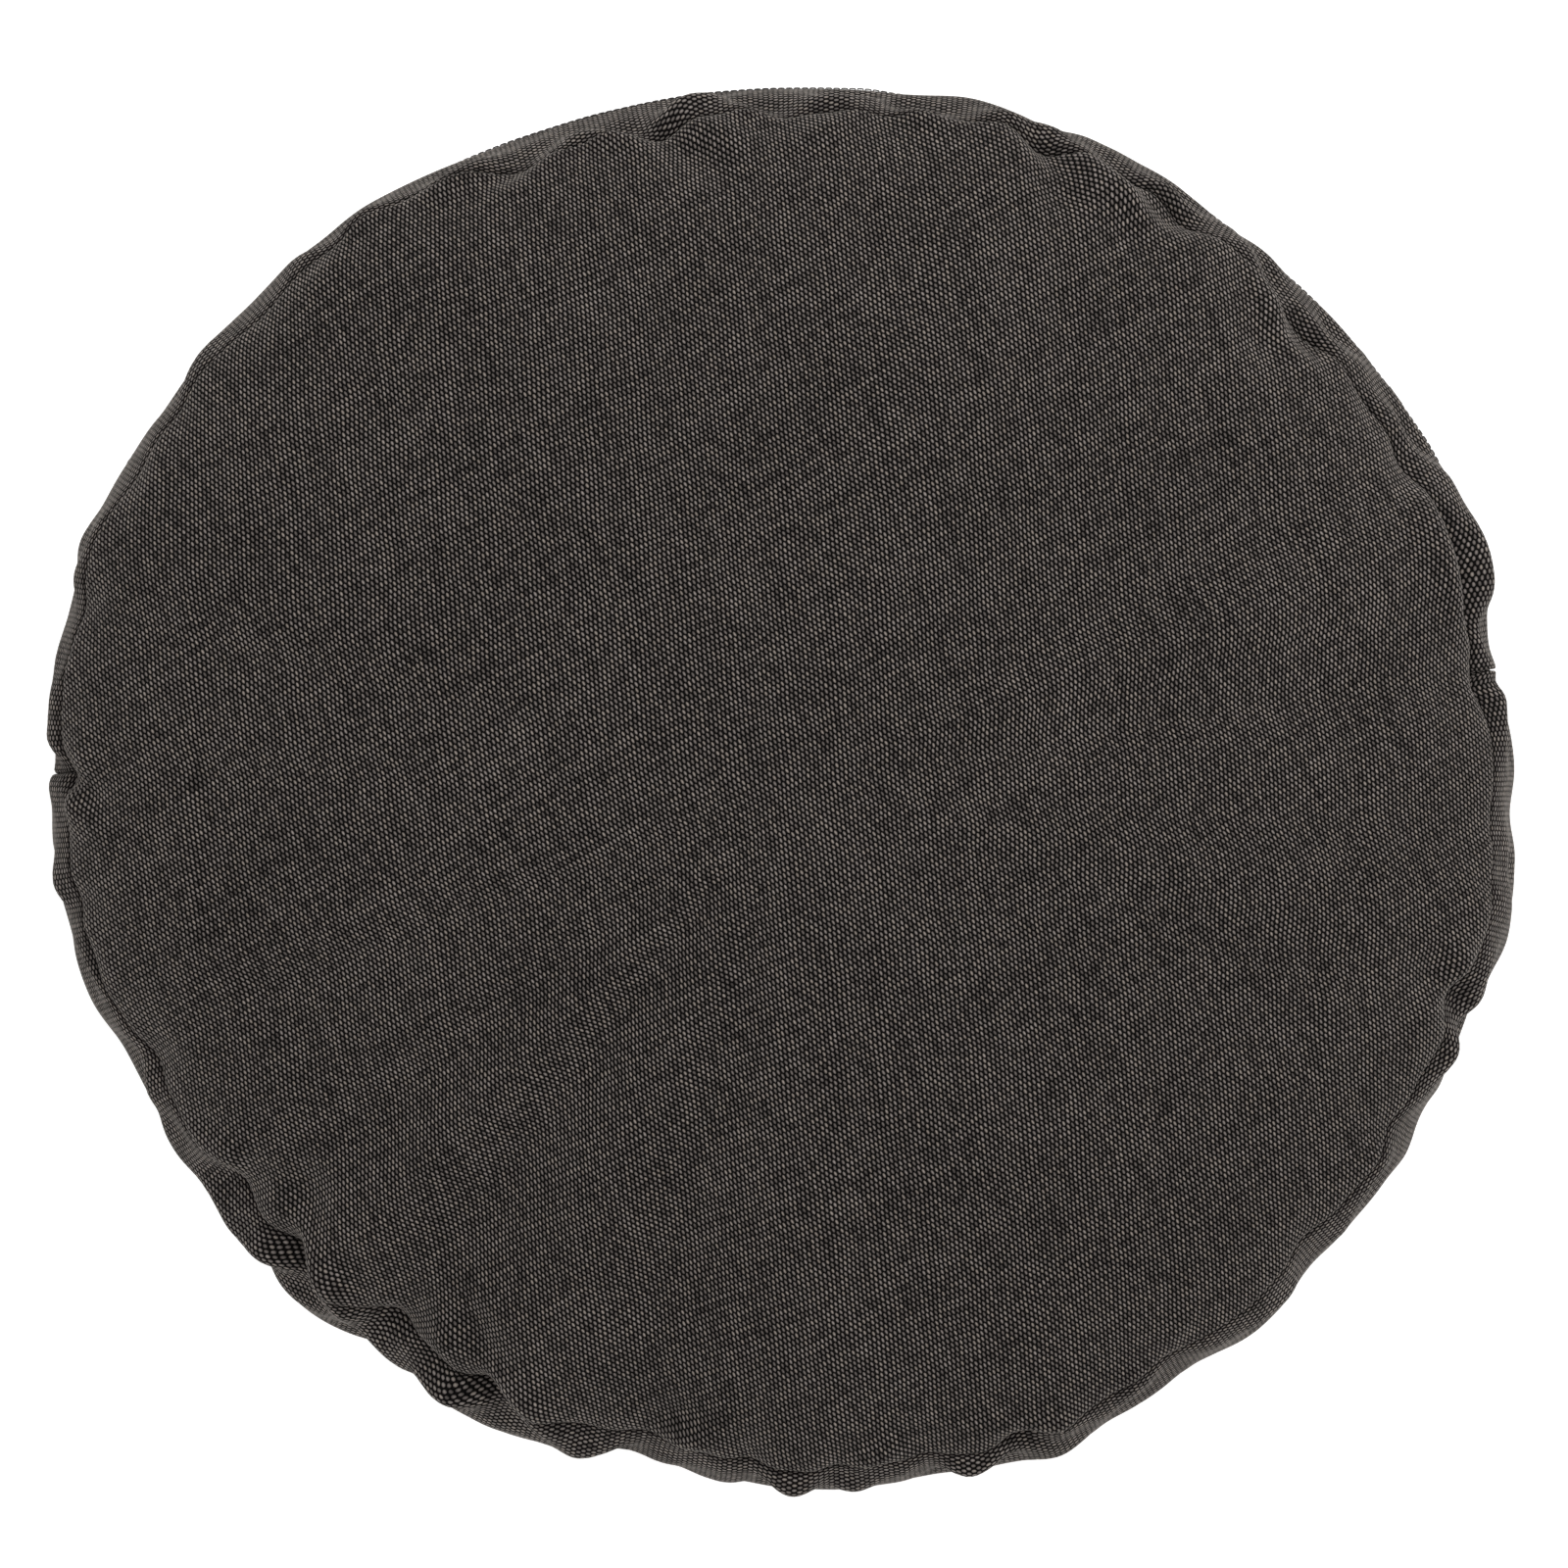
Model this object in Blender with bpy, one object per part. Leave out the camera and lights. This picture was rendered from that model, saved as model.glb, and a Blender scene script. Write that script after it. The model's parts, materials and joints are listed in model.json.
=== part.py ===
"""Round boxed floor cushion: a zipped canvas cover over a lined pad that is filled with fibre.

Metres, +Z up. The origin is on the floor under the middle of the cushion. +X runs along the longer
diameter, and the zip runs round the back, which is +Y. A place on the side is given by its turn, the
direction that the outline faces there, in degrees from +X, and by its inset, the distance inwards
from the girth, where the cushion is widest.
"""

import math

import bmesh
import bpy

# Overall shape
LENGTH = 0.600  # longer diameter at the girth
WIDTH = 0.568  # shorter diameter at the girth
ARC_HALF_TURN = 67.5  # degrees: half the turn of the front arc, and of the back arc
LOWER_SEAM = 0.022  # height of the lower seam above the floor
BAND_HEIGHT = 0.070  # from the lower seam to the upper seam
BAND_BULGE = 0.013  # how far the side band swells past the seams
DOME_RISE = 0.054  # from the upper seam to the crown
DOME_POWER = 2.2  # how soon the top levels out
FLAT_INSET = 0.200  # the top is level from here inwards
FLOOR_INSET = 0.060  # the bottom lies on the floor from here inwards

# Cover
FABRIC = 0.0014  # thickness of the canvas
SEAM_ALLOWANCE = 0.010  # turned in at the seams
HEM = 0.010  # turned in beside the zip
OVERLOCK = 0.0015  # thickness of the thread over raw edges
JOIN_WIDTH = 0.008  # the sewn join between two strips of the band
RIGHT_JOIN = 11.0  # turn of the join on the right
LEFT_JOIN = 178.8  # turn of the join on the left

# Zip, from its middle line outwards
ZIP_LENGTH = 0.600
ZIP_OPENING = 0.011  # between the folded edges of the canvas
ZIP_TAPER = 1.5  # degrees over which the opening closes at each end
TAPE_WIDTH = 0.014  # of one tape
TAPE = 0.0006  # thickness of the tape
COIL_WIDTH = 0.0023  # of one row of teeth
COIL_DEPTH = 0.0013  # from the girth in to the teeth
TEETH_GAP = 0.0016  # between the two rows, for the neck of the slider
TACK_LENGTH = 0.0016
TACK_DEPTH = 0.0002
TACK = 0.0007  # thickness of the bar tacks
STOP_LENGTH = 0.003
END_SPACE = 0.0006  # between the tacks, the stops and the teeth

# Slider and its pull
SLIDER_LENGTH = 0.012
SLIDER_WIDTH = 0.0088
SLIDER_PLATE = 0.00075
SLIDER_DEPTH = 0.0002  # from the girth in to the outer plate
SLIDER_LIP = 0.0008
SLIDER_PLAY = 0.0006  # between the tapes and the slider
NECK_WIDTH = 0.0010
NECK_LENGTH = 0.0023
BAIL_WIDTH = 0.0016
BAIL = 0.0008
BAIL_ROOM = 0.0020  # under the bail, for the bar of the pull
PULL_LENGTH = 0.024
PULL_WIDTH = 0.0068
PULL_EYE_WIDTH = 0.0048
PULL = 0.0011  # thickness of the pull

# Inner pad
LINER = 0.0006  # thickness of its lining
PAD_SEAM_INSET = 0.027
PAD_SEAM_DROP = 0.004  # its seams are this much nearer to the middle height than the cover's
PAD_BULGE = 0.015
PAD_POWER = 2.1
PAD_ROOM = 0.0006  # between the pad and the cover, above and below
PAD_FLOOR_INSET = 0.070

GAP = 0.0003  # between pieces that touch
STEP = 7.5  # degrees between sections
FINE_STEP = 3.75  # the same beside the zip

# What follows from them
FLAP = math.cos(math.radians(ARC_HALF_TURN)) ** -1 - math.tan(math.radians(ARC_HALF_TURN))
BACK_RADIUS = (LENGTH / 2 - WIDTH / 2 * FLAP) / (1 - FLAP)
BACK_CENTRE = WIDTH / 2 - BACK_RADIUS  # Y of the middle of the back arc
SIDE_RADIUS = LENGTH / 2 + BACK_CENTRE * math.tan(math.radians(ARC_HALF_TURN))
SIDE_CENTRE = LENGTH / 2 - SIDE_RADIUS  # X of the middle of the arc on the right
UPPER_SEAM = LOWER_SEAM + BAND_HEIGHT
MID_HEIGHT = LOWER_SEAM + BAND_HEIGHT / 2
CROWN = UPPER_SEAM + DOME_RISE
SEAM_INSET = BAND_BULGE
BAND_RADIUS = ((BAND_HEIGHT / 2) ** 2 + BAND_BULGE**2) / (2 * BAND_BULGE)
TAPE_DEPTH = 2 * FABRIC + GAP
ZIP_HALF_TURN = math.degrees(ZIP_LENGTH / 2 / BACK_RADIUS)
ZIP_START = 90 - ZIP_HALF_TURN
ZIP_END = 90 + ZIP_HALF_TURN

CANVAS = ((0.047, 0.041, 0.038), 0.95, 0.0)
CANVAS_THREAD = ((0.035, 0.031, 0.029), 0.8, 0.0)
ZIP_TAPE = ((0.030, 0.028, 0.027), 0.85, 0.0)
ZIP_TEETH = ((0.020, 0.019, 0.018), 0.4, 0.0)
ZIP_METAL = ((0.10, 0.095, 0.09), 0.35, 1.0)
LINING = ((0.70, 0.69, 0.66), 0.9, 0.0)
FIBRE = ((0.80, 0.80, 0.78), 1.0, 0.0)


def plan_point(turn, inset):
    """The point of the outline that faces this way, moved inwards."""
    x, y = math.cos(math.radians(turn)), math.sin(math.radians(turn))
    if abs(y) > math.cos(math.radians(ARC_HALF_TURN)) - 1e-9:
        centre, radius = (0, math.copysign(BACK_CENTRE, BACK_CENTRE * y)), BACK_RADIUS
    else:
        centre, radius = (math.copysign(SIDE_CENTRE, SIDE_CENTRE * x), 0), SIDE_RADIUS
    return centre[0] + (radius - inset) * x, centre[1] + (radius - inset) * y


def turns(start, end, step=STEP):
    """The turns of the sections from start to end: both ends and the even steps between them."""
    first, last = math.floor(start / step) + 1, math.ceil(end / step)
    even = [i * step for i in range(first, last)]
    return [start] + [t for t in even if start + 0.4 < t < end - 0.4] + [end]


ALL_ROUND = turns(0, 360)[:-1]


def along(length):
    """The turn that a length takes up round the back."""
    return math.degrees(length / BACK_RADIUS)


def on_band(up, depth):
    """The inset and height of a point of the band, this far up its curve and this deep under it."""
    angle = up / BAND_RADIUS
    return BAND_RADIUS - (BAND_RADIUS - depth) * math.cos(angle), MID_HEIGHT + (
        BAND_RADIUS - depth
    ) * math.sin(angle)


def band_reach(height, depth):
    """How far up its curve the band is at this height above its middle."""
    return BAND_RADIUS * math.asin(height / (BAND_RADIUS - depth))


def spread(start, end, count):
    """Even steps from start to end."""
    return [start + (end - start) * i / count for i in range(count + 1)]


def mirrored(section):
    """A section turned upside down about the middle height of the band."""
    return [(inset, 2 * MID_HEIGHT - height) for inset, height in section]


def swell(edge, flat, seam, rise, power):
    """A curve that leaves a seam at one inset and is level from another."""
    return lambda inset: seam + rise * (1 - (1 - (inset - edge) / (flat - edge)) ** power)


def under(curve, inset, depth):
    """The point this deep under a curve, or over it if depth is negative."""
    tiny = 1e-6
    slope = math.atan((curve(inset) - curve(inset - tiny)) / tiny)
    return inset + depth * math.sin(slope), curve(inset) - depth * math.cos(slope)


def inset_where(curve, depth, height, low, high):
    """The inset where the point under the curve is at this height."""
    rising = curve(high) > curve(low)
    for _ in range(40):
        middle = (low + high) / 2
        if (under(curve, middle, depth)[1] < height) == rising:
            low = middle
        else:
            high = middle
    return low


def material(name, finish):
    colour, roughness, metallic = finish
    made = bpy.data.materials.new(name)
    made.use_nodes = True
    shader = made.node_tree.nodes["Principled BSDF"]
    shader.inputs["Base Color"].default_value = (*colour, 1)
    shader.inputs["Roughness"].default_value = roughness
    shader.inputs["Metallic"].default_value = metallic
    made.diffuse_color = (*colour, 1)
    return made


def add_object(name, built, finish):
    """Turns a bmesh into a named object with a material of its own."""
    bmesh.ops.recalc_face_normals(built, faces=built.faces)
    mesh = bpy.data.meshes.new(name)
    built.to_mesh(mesh)
    built.free()
    mesh.shade_smooth()
    mesh.set_sharp_from_angle(angle=math.radians(35))
    mesh.materials.append(material(name, finish))
    made = bpy.data.objects.new(name, mesh)
    bpy.context.scene.collection.objects.link(made)
    return made


def sweep(name, finish, sections, full_round=False, closed_section=True):
    """Joins sections, given as a turn with its insets and heights, into one closed solid.

    A section that isn't closed starts and ends at a level face across the whole cushion.
    """
    built = bmesh.new()
    rings = []
    for turn, section in sections:
        rings.append([built.verts.new((*plan_point(turn, i), z)) for i, z in section])
    following = rings[1:] + (rings[:1] if full_round else [])
    size = len(rings[0])
    for ring, after in zip(rings, following):
        for i in range(size if closed_section else size - 1):
            j = (i + 1) % size
            built.faces.new((ring[i], after[i], after[j], ring[j]))
    if not closed_section:
        built.faces.new([ring[0] for ring in rings])
        built.faces.new([ring[-1] for ring in reversed(rings)])
    elif not full_round:
        built.faces.new(rings[0])
        built.faces.new(rings[-1][::-1])
    return add_object(name, built, finish)


def swept_bar(name, finish, section, start, end, step=STEP):
    """One section that keeps its shape from one turn to another."""
    return sweep(name, finish, [(turn, section) for turn in turns(start, end, step)])


# Cover

PANEL_STATIONS = (0.0, 0.1, 0.25, 0.45, 0.7, 1.0)


def panel_section(curve, flat, side):
    """The section of a round panel whose edge is turned in; side is 1 on top and -1 below."""
    tip, seam = SEAM_INSET + SEAM_ALLOWANCE, curve(SEAM_INSET)
    corner = inset_where(curve, side * FABRIC, seam + side * FABRIC, SEAM_INSET, flat)
    places = [SEAM_INSET + (flat - SEAM_INSET) * share for share in PANEL_STATIONS]
    outer = [(inset, curve(inset)) for inset in reversed(places)]
    inner = [under(curve, inset, side * FABRIC) for inset in places if inset > corner + 0.002]
    edge = [(tip, seam), (tip, seam + side * FABRIC)]
    return outer + edge + [under(curve, corner, side * FABRIC)] + inner


def cover_panels():
    top = swell(SEAM_INSET, FLAT_INSET, UPPER_SEAM + GAP / 2, DOME_RISE - GAP / 2, DOME_POWER)
    section = panel_section(top, FLAT_INSET, 1)
    sweep("cover_top_panel", CANVAS, [(t, section) for t in ALL_ROUND], True, False)
    bottom = swell(SEAM_INSET, FLOOR_INSET, LOWER_SEAM - GAP / 2, GAP / 2 - LOWER_SEAM, 2)
    section = panel_section(bottom, FLOOR_INSET, -1)
    sweep("cover_bottom_panel", CANVAS, [(t, section) for t in ALL_ROUND], True, False)


def upper_edge():
    """Where the band turns in at the upper seam: its tip, and its outer and inner reach."""
    height = BAND_HEIGHT / 2 - GAP / 2
    tip = SEAM_INSET + SEAM_ALLOWANCE
    return tip, height, band_reach(height, 0), band_reach(height - FABRIC, FABRIC)


def front_band():
    tip, height, outer_reach, inner_reach = upper_edge()
    outer = [on_band(up, 0) for up in spread(outer_reach, -outer_reach, 6)]
    inner = [on_band(up, FABRIC) for up in spread(-inner_reach, inner_reach, 4)]
    upper = [(tip, MID_HEIGHT + height - FABRIC), (tip, MID_HEIGHT + height)]
    section = outer + list(reversed(mirrored(upper))) + inner + upper
    half_gap = along(GAP / 2)
    start, end = LEFT_JOIN + half_gap, RIGHT_JOIN + 360 - half_gap
    swept_bar("side_band", CANVAS, section, start, end)


def zip_strip_section(fold):
    """The strip above the zip, from its folded edge to the upper seam."""
    tip, height, outer_reach, inner_reach = upper_edge()
    outer = [on_band(up, 0) for up in spread(outer_reach, fold, 3)]
    hem = [on_band(fold, 2 * FABRIC), on_band(fold + HEM, 2 * FABRIC), on_band(fold + HEM, FABRIC)]
    inner = [on_band(inner_reach, FABRIC)]
    flange = [(tip, MID_HEIGHT + height - FABRIC), (tip, MID_HEIGHT + height)]
    return outer + hem + inner + flange


def zip_strips():
    start, end = RIGHT_JOIN + along(GAP / 2), LEFT_JOIN - along(GAP / 2)
    opened, sewn = zip_strip_section(ZIP_OPENING / 2), zip_strip_section(GAP / 2)
    before = [(turn, sewn) for turn in turns(start, ZIP_START - ZIP_TAPER)]
    beside = [(turn, opened) for turn in turns(ZIP_START, ZIP_END, FINE_STEP)]
    after = [(turn, sewn) for turn in turns(ZIP_END + ZIP_TAPER, end)]
    upper = before + beside + after
    sweep("zip_strip_upper", CANVAS, upper)
    sweep("zip_strip_lower", CANVAS, [(turn, mirrored(section)) for turn, section in upper])


def overlocks():
    """Thread over the raw edges: round both seams, and down the two joins of the band."""
    near = SEAM_INSET + SEAM_ALLOWANCE + GAP
    half = FABRIC + GAP / 2 + OVERLOCK / 4
    for name, seam in (("upper_seam_overlock", UPPER_SEAM), ("lower_seam_overlock", LOWER_SEAM)):
        section = [(near, seam - half), (near, seam + half)]
        section += [(near + OVERLOCK, seam + half), (near + OVERLOCK, seam - half)]
        sweep(name, CANVAS_THREAD, [(turn, section) for turn in ALL_ROUND], True)
    reach = BAND_HEIGHT / 2 - 2 * FABRIC - OVERLOCK
    places = spread(-reach, reach, 4)
    depth = 2 * FABRIC + GAP
    section = [on_band(up, depth) for up in places]
    section += [on_band(up, depth + OVERLOCK) for up in reversed(places)]
    half_turn = math.degrees(JOIN_WIDTH / 2 / SIDE_RADIUS)
    for name, turn in (("right_join_overlock", RIGHT_JOIN), ("left_join_overlock", LEFT_JOIN)):
        swept_bar(name, CANVAS_THREAD, section, turn - half_turn, turn + half_turn, 90)


# Zip


def zip_bar(name, finish, near, far, outer, inner, start, end):
    """A bar of even section along the zip, between two distances above its middle line."""
    places = spread(near, far, 2)
    section = [on_band(up, outer) for up in places]
    section += [on_band(up, inner) for up in reversed(places)]
    return swept_bar(name, finish, section, start, end, FINE_STEP)


def zip_rows():
    near = TEETH_GAP / 2
    outer, inner = COIL_DEPTH, TAPE_DEPTH - GAP
    tack, stop, space = along(TACK_LENGTH), along(STOP_LENGTH), along(END_SPACE)
    first, last = ZIP_START + space, ZIP_END - space
    for name, start in (("bar_tack_right", first), ("bar_tack_left", last - tack)):
        half = ZIP_OPENING / 2 - GAP
        tack_inner = TACK_DEPTH + TACK
        zip_bar(name, CANVAS_THREAD, -half, half, TACK_DEPTH, tack_inner, start, start + tack)
    first, last = first + tack + space, last - tack - space
    reach = near + COIL_WIDTH
    zip_bar("zip_bottom_stop", ZIP_METAL, -reach, reach, outer, inner, last - stop, last)
    for side, name in ((1, "upper"), (-1, "lower")):
        tape = (side * (near + GAP / 2), side * TAPE_WIDTH, TAPE_DEPTH, TAPE_DEPTH + TAPE)
        row = (side * near, side * reach, outer, inner)
        zip_bar(f"zip_tape_{name}", ZIP_TAPE, *tape, ZIP_START, ZIP_END)
        zip_bar(f"zip_top_stop_{name}", ZIP_METAL, *row, first, first + stop)
        zip_bar(f"zip_teeth_{name}", ZIP_TEETH, *row, first + stop + space, last - stop - space)
    return first + stop + space + along(SLIDER_LENGTH) / 2


def box(x, y, z):
    """A box between pairs of values, as eight corners and six faces."""
    built = bmesh.new()
    corners = [built.verts.new((x[i & 1], y[i >> 1 & 1], z[i >> 2])) for i in range(8)]
    for face in ((0, 1, 3, 2), (4, 6, 7, 5), (0, 4, 5, 1), (2, 3, 7, 6), (0, 2, 6, 4), (1, 5, 7, 3)):
        built.faces.new([corners[i] for i in face])
    return built


def joined(base, operation, tools):
    """Adds the other shapes to a base, or takes them away; they stay as hidden guides."""
    for tool in tools:
        tool.hide_render = True
        tool.display_type = "WIRE"
        cut = base.modifiers.new(tool.name, "BOOLEAN")
        cut.operation = operation
        cut.object = tool


def slider_shapes():
    """The slider's plates, lips, neck and bail; X points out of the cushion and Y along the zip."""
    back = TAPE_DEPTH + TAPE + SLIDER_PLAY
    half, lip = SLIDER_LENGTH / 2, SLIDER_WIDTH / 2
    outer = (-SLIDER_DEPTH - SLIDER_PLATE, -SLIDER_DEPTH)
    lips = (GAP + BAIL_WIDTH / 4 - TAPE_DEPTH, -SLIDER_DEPTH)
    neck = (SLIDER_LIP - half, SLIDER_LIP - half + NECK_LENGTH)
    under_bail = BAIL_ROOM - SLIDER_DEPTH
    foot = half - 2 * BAIL
    yield "plate", outer, (-half, half), (-lip, lip)
    yield "back", (-back - SLIDER_PLATE, -back), (-half, half), (-lip, lip)
    yield "lip_upper", lips, (-half, half), (lip - SLIDER_LIP, lip)
    yield "lip_lower", lips, (-half, half), (-lip, SLIDER_LIP - lip)
    yield "neck", (-back - SLIDER_PLATE / 2, outer[0] / 2), neck, (-NECK_WIDTH / 2, NECK_WIDTH / 2)
    sides = (-BAIL_WIDTH / 2, BAIL_WIDTH / 2)
    rise = (outer[0] / 2, under_bail + BAIL)
    yield "foot_right", rise, (-foot, BAIL - foot), sides
    yield "foot_left", rise, (foot - BAIL, foot), sides
    yield "bridge", (under_bail, under_bail + BAIL), (-foot, foot), sides


def zip_slider(rest_turn):
    """The slider hangs on an empty on the axis that it travels round, as does its pull."""
    axis = bpy.data.objects.new("slider_axis", None)
    axis.location = (0, BACK_CENTRE, MID_HEIGHT)
    axis.rotation_euler = (0, 0, math.radians(rest_turn))
    bpy.context.scene.collection.objects.link(axis)
    shapes = {}
    for name, x, y, z in slider_shapes():
        shapes[name] = add_object(f"slider_{name}", box(x, y, z), ZIP_METAL)
        shapes[name].parent = axis
        shapes[name].location = (BACK_RADIUS, 0, 0)
    slider = shapes.pop("plate")
    slider.name = "zip_slider"
    joined(slider, "UNION", shapes.values())
    bar = (BAIL_ROOM - 2 * SLIDER_DEPTH) / 2
    pull_axis = bpy.data.objects.new("pull_axis", None)
    pull_axis.parent = axis
    pull_axis.location = (BACK_RADIUS + bar, 0, 0)
    bpy.context.scene.collection.objects.link(pull_axis)
    pull = add_object("zip_pull", pull_tab(), ZIP_METAL)
    pull.parent = pull_axis
    eye_half = BAIL_WIDTH / 2 + 2 * GAP
    reach = SLIDER_LENGTH / 2 - BAIL
    eye = add_object("pull_eye", box((-PULL, PULL), (PULL / 2, reach), (-eye_half, eye_half)), ZIP_METAL)
    eye.parent = pull_axis
    joined(pull, "DIFFERENCE", [eye])


def pull_tab():
    """The pull: narrow at its eye, wider towards its round end."""
    radius = PULL_WIDTH / 2
    outline = [(-PULL / 2, -PULL_EYE_WIDTH / 2), (SLIDER_LENGTH / 2, -PULL_EYE_WIDTH / 2)]
    end = PULL_LENGTH - radius
    for turn in spread(-90, 90, 8):
        angle = math.radians(turn)
        outline.append((end + radius * math.cos(angle), radius * math.sin(angle)))
    outline += [(SLIDER_LENGTH / 2, PULL_EYE_WIDTH / 2), (-PULL / 2, PULL_EYE_WIDTH / 2)]
    built = bmesh.new()
    face = built.faces.new([built.verts.new((-PULL / 2, y, z)) for y, z in outline])
    raised = bmesh.ops.extrude_face_region(built, geom=[face])["geom"]
    corners = [item for item in raised if isinstance(item, bmesh.types.BMVert)]
    bmesh.ops.translate(built, verts=corners, vec=(PULL, 0, 0))
    return built


# Inner pad

PAD_STATIONS = (0.0, 0.1, 0.25, 0.5, 0.75, 1.0)
PAD_UPPER = UPPER_SEAM - PAD_SEAM_DROP
PAD_HALF = PAD_UPPER - MID_HEIGHT
PAD_RADIUS = (PAD_HALF**2 + PAD_BULGE**2) / (2 * PAD_BULGE)
PAD_TOP = swell(
    PAD_SEAM_INSET, FLAT_INSET, PAD_UPPER + GAP / 2,
    CROWN - FABRIC - PAD_ROOM - PAD_UPPER - GAP / 2, PAD_POWER,
)
PAD_BOTTOM = swell(
    PAD_SEAM_INSET, PAD_FLOOR_INSET, LOWER_SEAM + PAD_SEAM_DROP - GAP / 2,
    FABRIC + PAD_ROOM + GAP / 2 - LOWER_SEAM - PAD_SEAM_DROP, 2,
)


def pad_side(height, depth):
    """The inset of the side of the pad at a height above its middle."""
    radius = PAD_RADIUS - depth
    middle = PAD_SEAM_INSET - PAD_BULGE + PAD_RADIUS
    return middle - math.sqrt(radius**2 - height**2), MID_HEIGHT + height


def pad_places(flat):
    """The insets of the rings of a pad panel, from its seam to where it is level."""
    return [PAD_SEAM_INSET + (flat - PAD_SEAM_INSET) * share for share in PAD_STATIONS]


def pad_heights():
    """The heights of the rings of the pad's side."""
    reach = PAD_HALF - LINER - GAP
    return spread(-reach, reach, 4)


def liner_pieces():
    panels = (("liner_top", PAD_TOP, FLAT_INSET, 1), ("liner_bottom", PAD_BOTTOM, PAD_FLOOR_INSET, -1))
    for name, curve, flat, side in panels:
        places = pad_places(flat)
        section = [(inset, curve(inset)) for inset in reversed(places)]
        section += [under(curve, inset, side * LINER) for inset in places]
        sweep(name, LINING, [(turn, section) for turn in ALL_ROUND], True, False)
    section = [pad_side(height, 0) for height in pad_heights()]
    section += [pad_side(height, LINER) for height in reversed(pad_heights())]
    sweep("liner_band", LINING, [(turn, section) for turn in ALL_ROUND], True)


def fibre_fill():
    """The fill, which keeps clear of the lining all round."""
    depth = LINER + 2 * GAP
    top = [under(PAD_TOP, inset, depth) for inset in reversed(pad_places(FLAT_INSET)[1:])]
    side = [pad_side(height, depth) for height in reversed(pad_heights())]
    bottom = [under(PAD_BOTTOM, inset, -depth) for inset in pad_places(PAD_FLOOR_INSET)[1:]]
    section = top + side + bottom
    sweep("fibre_fill", FIBRE, [(turn, section) for turn in ALL_ROUND], True, False)


def clear_scene():
    for old in list(bpy.data.objects):
        bpy.data.objects.remove(old)


clear_scene()
cover_panels()
front_band()
zip_strips()
overlocks()
zip_slider(zip_rows())
liner_pieces()
fibre_fill()
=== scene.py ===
import json
import math
import bmesh
import bpy
import numpy as np
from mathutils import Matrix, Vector


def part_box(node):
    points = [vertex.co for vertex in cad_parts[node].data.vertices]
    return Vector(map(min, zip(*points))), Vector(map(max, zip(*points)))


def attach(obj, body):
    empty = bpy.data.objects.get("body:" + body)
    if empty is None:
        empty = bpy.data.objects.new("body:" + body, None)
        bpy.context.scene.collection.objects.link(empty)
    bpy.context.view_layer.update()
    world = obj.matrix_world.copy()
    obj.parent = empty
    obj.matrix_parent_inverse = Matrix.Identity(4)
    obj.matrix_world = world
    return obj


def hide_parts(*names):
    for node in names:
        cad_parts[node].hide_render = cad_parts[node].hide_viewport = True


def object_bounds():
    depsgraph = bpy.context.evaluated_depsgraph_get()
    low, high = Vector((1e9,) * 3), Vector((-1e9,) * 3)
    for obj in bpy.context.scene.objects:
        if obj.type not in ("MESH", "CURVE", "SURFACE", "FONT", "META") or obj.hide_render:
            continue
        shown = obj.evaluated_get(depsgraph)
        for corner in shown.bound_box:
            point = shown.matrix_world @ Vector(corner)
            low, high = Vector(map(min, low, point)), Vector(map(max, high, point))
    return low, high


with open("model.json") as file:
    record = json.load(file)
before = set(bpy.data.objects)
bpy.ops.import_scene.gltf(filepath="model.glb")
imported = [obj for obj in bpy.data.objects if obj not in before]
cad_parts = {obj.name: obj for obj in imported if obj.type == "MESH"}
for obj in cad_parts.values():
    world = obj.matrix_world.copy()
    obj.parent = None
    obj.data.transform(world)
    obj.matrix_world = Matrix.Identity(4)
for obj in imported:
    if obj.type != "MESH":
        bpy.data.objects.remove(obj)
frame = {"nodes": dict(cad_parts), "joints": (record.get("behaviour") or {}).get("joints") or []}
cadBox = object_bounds()
print("frame loaded")

mm = 0.001
degree = math.pi / 180

# an oval of four arcs, one of which is the zip's own
joints = {joint["name"]: joint for joint in frame["joints"]}
zipAxis = joints["slider_travel"]["pos_m"]
halfLength, halfWidth = cadBox[1].x, -cadBox[0].y
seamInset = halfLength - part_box("cover_top_panel")[1].x
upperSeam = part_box("cover_top_panel")[0].z
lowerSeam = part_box("cover_bottom_panel")[1].z
girth = zipAxis[2]
backCentre = zipAxis[1]
backRadius = halfWidth - backCentre
sideRadius = (backRadius ** 2 - halfLength ** 2 - backCentre ** 2) / (2 * (backRadius - halfLength))
sideCentre = halfLength - sideRadius
arcSplit = math.atan2(sideCentre, -backCentre)  # half the turn of the back arc

cover = {
    "cell": 4.3 * mm,          # of the cloth mesh
    "crownRise": 55 * mm,      # from the top seam to the crown
    "domePower": 3.6,
    "floorFrom": 0.84,         # share of the bottom panel's radius that lies flat
    "floorGap": 0.4 * mm,
    "leastHeight": 0.3 * mm,   # after the cloth has settled
    "flatGrowth": 1.045,       # the flat cut is this much wider than the seam it is sewn to
    "bandArc": 76 * mm,
    "thickness": 0.9 * mm,
    "rightJoin": 11.0,         # turns of the band's two joins
    "leftJoin": 178.8,
    "seamWaves": 3,            # slow rises and falls of the top seam round the cushion
    "seamWaveHeight": 1.2 * mm,
    "zipHalfTurn": 56.5,       # the zip reaches this far either side of the middle of the back
    "slotHalf": 5.5 * mm,
    "ribAngle": 30,            # of the ribs on the top panel, from +X
}

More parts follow.
